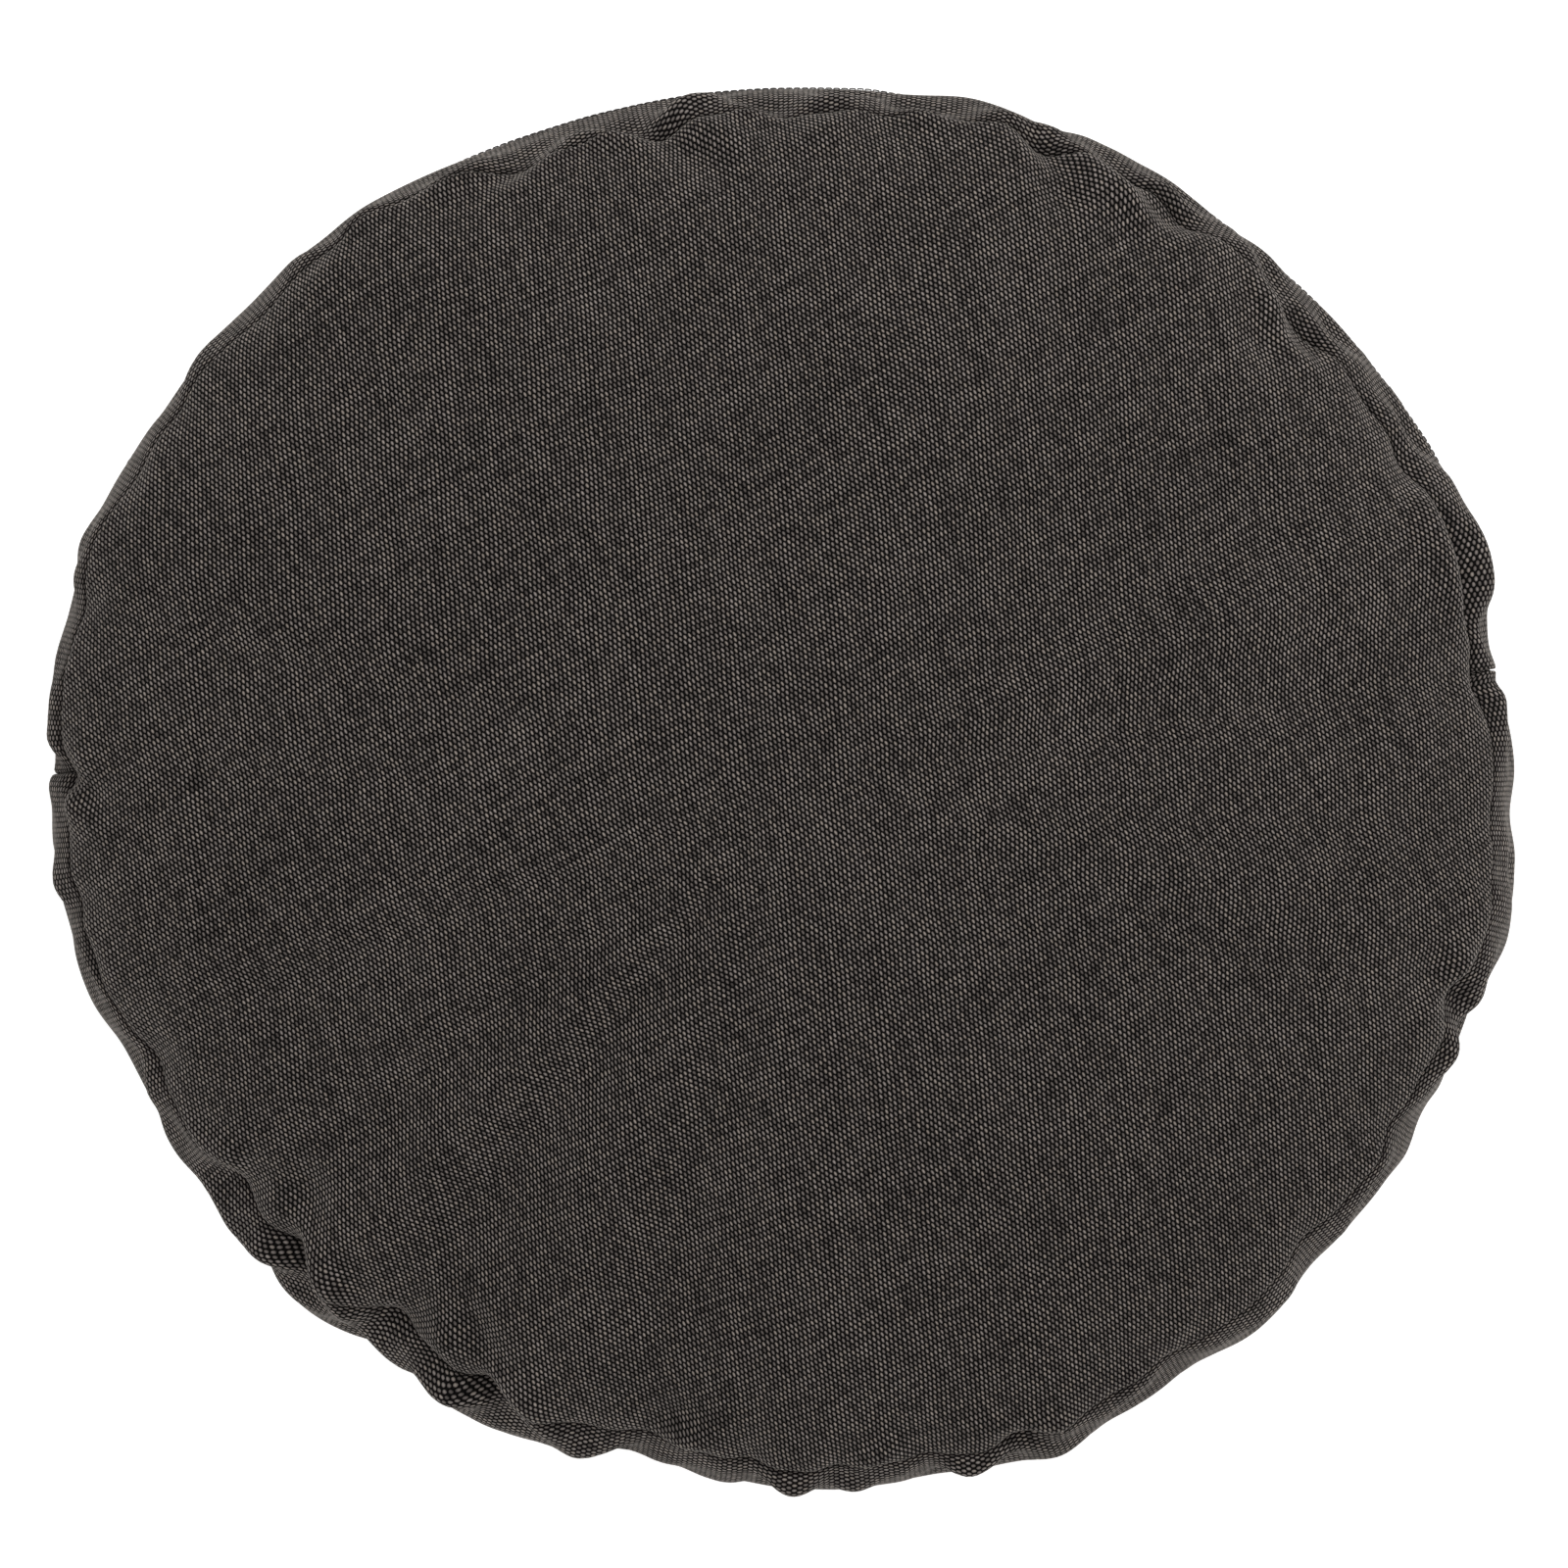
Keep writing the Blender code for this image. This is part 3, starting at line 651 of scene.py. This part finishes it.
canvas = {
    "ribPitch": 2.09 * mm,     # thick weft ribs
    "grainPitch": 1.88 * mm,   # warp floats along a rib, two thin warp threads apart
    "grainHalfWidth": 0.31,    # share of the grain pitch
    "grainHalfLength": 0.53,   # share of the rib pitch
    # near black between the floats: the darker yarn deep in the weave, with painted shade of the floats over
    # it
    "gapYarnAndShade": "#040404",
    "yarnDark": "#433e3c",
    "yarnLight": "#9b928d",
    "yarnBrown": "#7d7060",
    "waver": 0.3 * mm,
    "warpStreak": (1.9 * mm, 45 * mm),   # along the ribs, and across them
    "ribStreak": (140 * mm, 2.2 * mm),
    "grainVary": 0.42,         # how much each float, warp thread, rib and patch varies
    "warpVary": 0.65,
    "ribVary": 0.70,
    "patchVary": 0.32,
    "shadeShift": -0.49,
    "relief": 0.5 * mm,
}


def canvasMaterial():
    # heavy cotton-blend canvas, plain woven with thick ribs: matt, speckled, a little fuzzy at the edges
    made, tree, shader = newMaterial("wovenCanvas", 0.95)

    def calc(operation, first, second=None, third=None, clamp=False):
        links, values = {}, {"operation": operation, "use_clamp": clamp}
        for place, value in enumerate((first, second, third)):
            if isinstance(value, (int, float)):
                values[place] = value
            elif value is not None:
                links[place] = value
        return add(tree, "ShaderNodeMath", values, links)

    def noise(scale, detail, vector):
        return add(tree, "ShaderNodeTexNoise", {"Scale": scale, "Detail": detail}, {"Vector": vector})

    def wander(vector, source, amount):
        centred = add(tree, "ShaderNodeVectorMath", {"operation": "SUBTRACT", 1: (0.5, 0.5, 0.5)},
                      {0: source.outputs[1]})
        shift = add(tree, "ShaderNodeVectorMath", {"operation": "SCALE", "Scale": amount},
                    {0: centred.outputs[0]})
        shifted = add(tree, "ShaderNodeVectorMath", {"operation": "ADD"}, {0: vector, 1: shift.outputs[0]})
        return shifted.outputs[0]

    place = add(tree, "ShaderNodeUVMap", {"uv_map": "weave"})
    moved = wander(place, noise(38.0, 2.0, place), canvas["waver"] * 6)
    moved = wander(moved, noise(420.0, 1.0, place), canvas["waver"] * 0.9)
    split = add(tree, "ShaderNodeSeparateXYZ", {}, {0: moved})
    rib = calc("DIVIDE", split.outputs[1], canvas["ribPitch"])
    ribNumber = calc("FLOOR", rib)
    grain = calc("MULTIPLY_ADD", ribNumber, 0.5, calc("DIVIDE", split.outputs[0], canvas["grainPitch"]))
    grainNumber = calc("FLOOR", grain)
    acrossRib = calc("SUBTRACT", calc("SUBTRACT", rib, ribNumber), 0.5)
    alongRib = calc("SUBTRACT", calc("SUBTRACT", grain, grainNumber), 0.5)
    # the raised oval of each warp float, and the rib that shows between them
    ovalA = calc("POWER", calc("ABSOLUTE", calc("DIVIDE", alongRib, canvas["grainHalfWidth"])), 2.0)
    ovalB = calc("POWER", calc("ABSOLUTE", calc("DIVIDE", acrossRib, canvas["grainHalfLength"])), 2.4)
    raised = calc("SUBTRACT", 1.0, calc("ADD", ovalA, ovalB), clamp=True)
    ribTop = calc("MULTIPLY", calc("SUBTRACT", 1.0, calc("MULTIPLY", ovalB, 1.2), clamp=True), 0.02)
    height = calc("MAXIMUM", raised, ribTop)
    # every float has its own shade, and so has every thread
    cell = add(tree, "ShaderNodeCombineXYZ", {}, {0: grainNumber, 1: ribNumber})
    grainShade = add(tree, "ShaderNodeTexWhiteNoise", {"noise_dimensions": "2D"}, {"Vector": cell})
    streaks = []
    for along, across in (canvas["warpStreak"], canvas["ribStreak"]):
        streak = add(tree, "ShaderNodeMapping", {"Scale": (1 / along, 1 / across, 1)}, {"Vector": moved})
        streaks.append(noise(1.0, 1.0, streak).outputs[0])
    shade = calc("MULTIPLY_ADD", grainShade.outputs[0], canvas["grainVary"], canvas["shadeShift"])
    shade = calc("MULTIPLY_ADD", streaks[0], canvas["warpVary"], shade)
    shade = calc("MULTIPLY_ADD", streaks[1], canvas["ribVary"], shade)
    shade = calc("MULTIPLY_ADD", noise(13.0, 3.0, place).outputs[0], canvas["patchVary"], shade, clamp=True)
    yarns = {"data_type": "RGBA", 6: linear(canvas["yarnDark"]), 7: linear(canvas["yarnLight"])}
    yarn = add(tree, "ShaderNodeMix", yarns, {0: shade})
    brown = calc("MULTIPLY", calc("GREATER_THAN", grainShade.outputs[0], 0.78), 0.25)
    yarn = add(tree, "ShaderNodeMix", {"data_type": "RGBA", 7: linear(canvas["yarnBrown"])},
               {0: brown, 6: yarn.outputs[2]})
    yarn = add(tree, "ShaderNodeMix", {"data_type": "RGBA", "blend_type": "SOFT_LIGHT", 0: 0.2},
               {6: yarn.outputs[2], 7: grainShade.outputs[0]})
    # the low places between floats are painted near black: painted shade under the raised floats, as well as
    # the darker yarn there
    colour = add(tree, "ShaderNodeMix", {"data_type": "RGBA", 6: linear(canvas["gapYarnAndShade"])},
                 {0: height, 7: yarn.outputs[2]})
    tree.links.new(colour.outputs[2], shader.inputs["Base Color"])
    bump = add(tree, "ShaderNodeBump", {"Strength": 0.8, "Distance": canvas["relief"]}, {"Height": height})
    tree.links.new(bump, shader.inputs["Normal"])
    shader.inputs["Specular IOR Level"].default_value = 0.03
    shader.inputs["Sheen Weight"].default_value = 0.45
    shader.inputs["Sheen Roughness"].default_value = 0.22
    shader.inputs["Sheen Tint"].default_value = linear("#e6dfd7")
    return made


def plainMaterial(name, code, roughness, metallic=0.0, bumpScale=0.0, bumpHeight=0.0, streak=(1, 1, 1)):
    # one colour, a little uneven, with a fine grain that may be drawn out along an axis
    vary = 0.12
    made, tree, shader = newMaterial(name, roughness, metallic)
    where = add(tree, "ShaderNodeTexCoord").outputs["Object"]
    patchy = add(tree, "ShaderNodeTexNoise", {"Scale": 60.0, "Detail": 4.0}, {"Vector": where})
    colour = linear(code)
    darker = [value * (1 - vary) for value in colour[:3]] + [1]
    lighter = [min(1, value * (1 + vary)) for value in colour[:3]] + [1]
    mixed = add(tree, "ShaderNodeMix", {"data_type": "RGBA", 6: darker, 7: lighter}, {0: patchy.outputs[0]})
    tree.links.new(mixed.outputs[2], shader.inputs["Base Color"])
    if bumpHeight:
        drawn = add(tree, "ShaderNodeMapping", {"Scale": streak}, {"Vector": where})
        grain = add(tree, "ShaderNodeTexNoise", {"Scale": bumpScale, "Detail": 3.0}, {"Vector": drawn})
        bump = add(tree, "ShaderNodeBump", {"Strength": 0.6, "Distance": bumpHeight},
                   {"Height": grain.outputs[0]})
        tree.links.new(bump, shader.inputs["Normal"])
    return made


def makeFinishes():
    return {
        # polyester sewing thread, a shade darker than the canvas
        "thread": plainMaterial("polyesterThread", "#3a3634", 0.7, bumpScale=1500, bumpHeight=0.1 * mm),
        # woven polyester zip tape
        "zip_tape": plainMaterial("zipTapeWeave", "#2b2827", 0.85, bumpScale=2200, bumpHeight=0.1 * mm,
                                  streak=(1, 1, 3)),
        # nylon coil
        "zip_teeth": plainMaterial("nylonCoil", "#2f2c2b", 0.38),
        # die-cast zinc with a dark nickel plating, worn a little at random
        "zip_metal": plainMaterial("platedZinc", "#5a5652", 0.32, 1.0, bumpScale=900, bumpHeight=0.03 * mm),
        # pressed polyester felt of the inner pad
        "lining": plainMaterial("liningFelt", "#d9d5cd", 0.9, bumpScale=500, bumpHeight=0.3 * mm),
        # loose polyester fibre
        "fibre": plainMaterial("fibreFill", "#eceae6", 0.95, bumpScale=160, bumpHeight=2 * mm),
    }


# threads and the zip
seamThread = {"reach": 9.2 * mm, "halfWidth": 1.9 * mm, "halfThickness": 0.75 * mm}


def ringOf(cloth, ring):
    start = cloth["starts"][ring]
    return np.arange(start, start + len(cloth["rings"][ring][2]))


def makeOverlock(name, node, cloth, loop, normals, closed):
    # the thread over the raw edges, on the end of the seam allowance
    centre = cloth["shape"][loop] - normals[loop] * seamThread["reach"]
    along = np.roll(centre, -1, 0) - np.roll(centre, 1, 0)
    if not closed:
        along[0], along[-1] = centre[1] - centre[0], centre[-1] - centre[-2]
    along /= np.linalg.norm(along, axis=1)[:, None]
    across = np.cross(along, normals[loop])
    points, faces, sides, count = [], [], 8, len(loop)
    for k in range(sides):
        angle = 2 * math.pi * k / sides
        points.append(centre + normals[loop] * math.cos(angle) * seamThread["halfWidth"]
                      + across * math.sin(angle) * seamThread["halfThickness"])
    for k in range(sides):
        for i in range(count if closed else count - 1):
            j, m = (i + 1) % count, (k + 1) % sides
            faces.append((k * count + i, k * count + j, m * count + j, m * count + i))
    if not closed:
        faces.append([k * count for k in range(sides)])
        faces.append([k * count + count - 1 for k in range(sides)])
    mesh = bpy.data.meshes.new(name)
    mesh.from_pydata(np.concatenate(points).tolist(), [], faces)
    finishMesh(mesh)
    piece = bpy.data.objects.new(name, mesh)
    bpy.context.scene.collection.objects.link(piece)
    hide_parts(node)
    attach(piece, "cushion")
    piece.data.materials.append(finishes["thread"])


def finishMesh(mesh):
    # faces outward and smooth
    built = bmesh.new()
    built.from_mesh(mesh)
    bmesh.ops.recalc_face_normals(built, faces=built.faces)
    for face in built.faces:
        face.smooth = True
    built.to_mesh(mesh)
    built.free()


def repeatAlong(name, line, normalsOf, unit, pitch, material):
    # copies of one small mesh along a line, by Geometry Nodes, applied to a plain mesh
    mesh = bpy.data.meshes.new(name + "Line")
    mesh.from_pydata([list(p) for p in line], [(i, i + 1) for i in range(len(line) - 1)], [])
    up = mesh.attributes.new("outward", "FLOAT_VECTOR", "POINT")
    up.data.foreach_set("vector", np.asarray(normalsOf, np.float32).ravel())
    path = bpy.data.objects.new(name + "Line", mesh)
    bpy.context.scene.collection.objects.link(path)
    tree = bpy.data.node_groups.new(name + "Repeat", "GeometryNodeTree")
    tree.interface.new_socket("Geometry", in_out="INPUT", socket_type="NodeSocketGeometry")
    spacing = tree.interface.new_socket("Pitch", in_out="INPUT", socket_type="NodeSocketFloat")
    single = tree.interface.new_socket("Unit", in_out="INPUT", socket_type="NodeSocketObject")
    tree.interface.new_socket("Geometry", in_out="OUTPUT", socket_type="NodeSocketGeometry")
    inlet = tree.nodes.new("NodeGroupInput")
    outlet = tree.nodes.new("NodeGroupOutput")
    curve = add(tree, "GeometryNodeMeshToCurve", {}, {"Mesh": inlet.outputs["Geometry"]})
    even = add(tree, "GeometryNodeResampleCurve", {"mode": "LENGTH"},
               {"Curve": curve, "Length": inlet.outputs["Pitch"]})
    source = add(tree, "GeometryNodeObjectInfo", {}, {"Object": inlet.outputs["Unit"]})
    outward = add(tree, "GeometryNodeInputNamedAttribute", {"data_type": "FLOAT_VECTOR", "Name": "outward"})
    tangent = add(tree, "GeometryNodeInputTangent")
    turned = add(tree, "FunctionNodeAxesToRotation", {"primary_axis": "X", "secondary_axis": "Z"},
                 {0: tangent, 1: outward.outputs["Attribute"]})
    copies = add(tree, "GeometryNodeInstanceOnPoints", {},
                 {"Points": even, "Instance": source.outputs["Geometry"], "Rotation": turned})
    real = add(tree, "GeometryNodeRealizeInstances", {}, {"Geometry": copies})
    painted = add(tree, "GeometryNodeSetMaterial", {"Material": material}, {"Geometry": real})
    tree.links.new(painted, outlet.inputs[0])
    maker = path.modifiers.new("repeat", "NODES")
    maker.node_group = tree
    maker[spacing.identifier] = pitch
    maker[single.identifier] = unit
    path.update_tag()
    settled = path.evaluated_get(bpy.context.evaluated_depsgraph_get())
    made = bpy.data.meshes.new_from_object(settled)
    made.name = name
    bpy.data.objects.remove(path)
    finishMesh(made)
    if not made.materials:
        made.materials.append(material)
    piece = bpy.data.objects.new(name, made)
    bpy.context.scene.collection.objects.link(piece)
    print("repeat", name, len(made.polygons))
    return piece


def unitTube(name, path, radius, sides=6):
    # a small closed tube through the given points, as the thing that repeats
    points, faces = [], []
    path = [Vector(p) for p in path]
    for i, place in enumerate(path):
        along = (path[min(i + 1, len(path) - 1)] - path[max(i - 1, 0)]).normalized()
        side = (along.orthogonal() if abs(along.z) > 0.99 else along.cross(Vector((0, 0, 1)))).normalized()
        rise = side.cross(along)
        for k in range(sides):
            angle = 2 * math.pi * k / sides
            points.append(place + side * math.cos(angle) * radius + rise * math.sin(angle) * radius)
    for i in range(len(path) - 1):
        for k in range(sides):
            m = (k + 1) % sides
            faces.append((i * sides + k, i * sides + m, (i + 1) * sides + m, (i + 1) * sides + k))
    faces.append(tuple(range(sides - 1, -1, -1)))
    faces.append(tuple(range((len(path) - 1) * sides, len(path) * sides)))
    mesh = bpy.data.meshes.new(name)
    mesh.from_pydata([list(p) for p in points], [], faces)
    return bpy.data.objects.new(name, mesh)


topstitch = {"pitch": 3.2 * mm, "length": 2.5 * mm, "thread": 0.3 * mm, "outside": 0.02 * mm,
             "sunk": 0.35 * mm, "shoulder": 0.05 * mm, "crown": 0.12 * mm}
coil = {"pitch": 1.5 * mm, "wire": 0.28 * mm, "outDepth": 1.45 * mm, "inDepth": 2.75 * mm,
        "head": 0.35 * mm, "middle": 1.9 * mm, "tail": 2.9 * mm, "headBend": 0.25 * mm,
        "lean": 0.34 * mm, "endTurn": 0.9}


def zipPoint(turn, up, depth):
    # a point on the zip's own arc: height measured up the band, depth from its face
    reach = bandRadius - depth
    inset = bandRadius - reach * np.cos(up / bandRadius)
    x, y = outline(turn, inset)
    return np.stack([x, y, girth + reach * np.sin(up / bandRadius) + 0 * turn], -1)


def makeTopstitches(cloth, normals):
    # the row of stitches that holds each folded edge beside the zip
    half = topstitch["length"] / 2
    ends, shoulders = -topstitch["sunk"], topstitch["shoulder"]
    path = [(-half, 0, ends), (-half * 0.8, 0, shoulders), (0, 0, topstitch["crown"]),
            (half * 0.8, 0, shoulders), (half, 0, ends)]
    unit = unitTube("stitchUnit", path, topstitch["thread"])
    band = [k for k, ring in enumerate(cloth["rings"]) if ring[0] == "band"]
    middle = band[len(band) // 2]
    for name, ring in (("topstitchUpper", middle - 2), ("topstitchLower", middle + 2)):
        loop = ringOf(cloth, ring)
        turn = cloth["param"][loop, 1]
        loop = loop[(turn > zipTurns[0] - 4) & (turn < zipTurns[1] + 4)]
        line = cloth["shape"][loop] + normals[loop] * topstitch["outside"]
        piece = repeatAlong(name, line, normals[loop], unit, topstitch["pitch"], finishes["thread"])
        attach(piece, "cushion")
    bpy.data.objects.remove(unit)


def makeTeeth():
    # each side's coil: flat loops of nylon whose heads meet in the middle
    middle = (coil["outDepth"] + coil["inDepth"]) / 2
    depth = (coil["inDepth"] - coil["outDepth"]) / 2 - coil["wire"]
    lean = coil["lean"]
    for name, node, side in (("zipTeethUpper", "zip_teeth_upper", 1),
                             ("zipTeethLower", "zip_teeth_lower", -1)):
        low, high = side * (coil["head"] - coil["middle"]), side * (coil["tail"] - coil["middle"])
        bend = low + side * coil["headBend"]
        path = [(-lean, high, depth), (-lean, 0, depth), (0, bend, depth * 0.9), (0, low, 0),
                (0, bend, -depth * 0.9), (lean, 0, -depth), (lean, high, -depth)]
        unit = unitTube("toothUnit", path, coil["wire"])
        shift = 0.5 if side > 0 else 0.0
        turns = np.arange(zipTurns[0] + coil["endTurn"], zipTurns[1] - coil["endTurn"], 1.0)
        turns = turns + shift * coil["pitch"] / backRadius / degree
        line = zipPoint(turns, side * coil["middle"], middle)
        outward = zipPoint(turns, side * coil["middle"], middle - 1 * mm) - line
        outward /= np.linalg.norm(outward, axis=1)[:, None]
        piece = repeatAlong(name, line, outward, unit, coil["pitch"], finishes["zip_teeth"])
        bpy.data.objects.remove(unit)
        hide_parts(node)
        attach(piece, "cushion")


# the studio
studio = {
    "frameWidth": 0.640,       # seen at the height of the girth
    "distance": 1.5,
    "centre": (-1.1 * mm, 0.6 * mm),
    "skyStrength": 0.88,
    "keyEnergy": 11.0,
    "keySize": 1.2,
    "keyPlace": (0.7, 1.0, 1.3),
    "keyAim": (0, 0, 0.08),
    "floor": "#e4e3e1",
    "floorGlow": 0.6,
    "floorHalf": 4.0,
}


def makeStudio():
    scene = bpy.context.scene
    scene.view_settings.view_transform = "Standard"
    world = bpy.data.worlds.new("softLight")
    scene.world = world
    world.use_nodes = True
    world.node_tree.nodes["Background"].inputs[0].default_value = (1, 1, 1, 1)
    world.node_tree.nodes["Background"].inputs[1].default_value = studio["skyStrength"]
    lamp = bpy.data.lights.new("softbox", "AREA")
    lamp.energy = studio["keyEnergy"]
    lamp.size = studio["keySize"]
    softbox = bpy.data.objects.new("softbox", lamp)
    softbox.location = studio["keyPlace"]
    softbox.rotation_mode = "QUATERNION"
    towards = Vector(studio["keyAim"]) - softbox.location
    softbox.rotation_quaternion = towards.to_track_quat("-Z", "Y")
    scene.collection.objects.link(softbox)
    mesh = bpy.data.meshes.new("studioFloor")
    half = studio["floorHalf"]
    corners = [(-half, -half, 0), (half, -half, 0), (half, half, 0), (-half, half, 0)]
    mesh.from_pydata(corners, [], [(0, 1, 2, 3)])
    ground = bpy.data.objects.new("studioFloor", mesh)
    made, tree, shader = newMaterial("studioPaper", 0.9)
    shader.inputs["Base Color"].default_value = linear(studio["floor"])
    shader.inputs["Emission Color"].default_value = (1, 1, 1, 1)
    shader.inputs["Emission Strength"].default_value = studio["floorGlow"]
    mesh.materials.append(made)
    scene.collection.objects.link(ground)
    lens = bpy.data.cameras.new("camera")
    lens.lens = lens.sensor_width * studio["distance"] / studio["frameWidth"]
    camera = bpy.data.objects.new("camera", lens)
    camera.location = (*studio["centre"], girth + studio["distance"])
    scene.collection.objects.link(camera)
    scene.camera = camera


makeStudio()
cloth = buildCloth()
addPuckers(cloth)
simulateCloth(cloth)
normals = vertexNormals(cloth["shape"], cloth["faces"])
panels = cutPanels(cloth)
finishes = makeFinishes()
finishes["canvas"] = canvasMaterial()
sewn = {"topPanel": "cover_top_panel", "bottomPanel": "cover_bottom_panel", "sideBand": "side_band",
        "zipStripUpper": "zip_strip_upper", "zipStripLower": "zip_strip_lower"}
for name, node in sewn.items():
    piece = makePanel(name, cloth, panels[name], normals)
    piece.data.materials.append(finishes["canvas"])
    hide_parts(node)
    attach(piece, "cushion")
    print("panel", name, len(piece.data.polygons))
bandRings = [k for k, ring in enumerate(cloth["rings"]) if ring[0] == "band"]
upperLoop, lowerLoop = ringOf(cloth, bandRings[0] - 1), ringOf(cloth, bandRings[-1] + 1)
makeOverlock("upperSeamOverlock", "upper_seam_overlock", cloth, upperLoop, normals, True)
makeOverlock("lowerSeamOverlock", "lower_seam_overlock", cloth, lowerLoop, normals, True)
for side, column in (("right", 0), ("left", cloth["zipColumns"])):
    rows = np.array([cloth["starts"][ring] + column for ring in bandRings[1:-1]])
    makeOverlock(side + "JoinOverlock", side + "_join_overlock", cloth, rows, normals, False)
makeTopstitches(cloth, normals)
makeTeeth()

cadFinishes = {
    "thread": ["bar_tack_right", "bar_tack_left"],
    "zip_tape": ["zip_tape_upper", "zip_tape_lower"],
    "zip_metal": ["zip_top_stop_upper", "zip_top_stop_lower", "zip_bottom_stop", "zip_slider", "zip_pull"],
    "lining": ["liner_top", "liner_bottom", "liner_band"],
    "fibre": ["fibre_fill"],
}
for slotName, nodes in cadFinishes.items():
    for node in nodes:
        target = frame["nodes"][node]
        if target.material_slots:
            for place in target.material_slots:
                place.link = "OBJECT"
                place.material = finishes[slotName]
        else:
            target.data.materials.append(finishes[slotName])
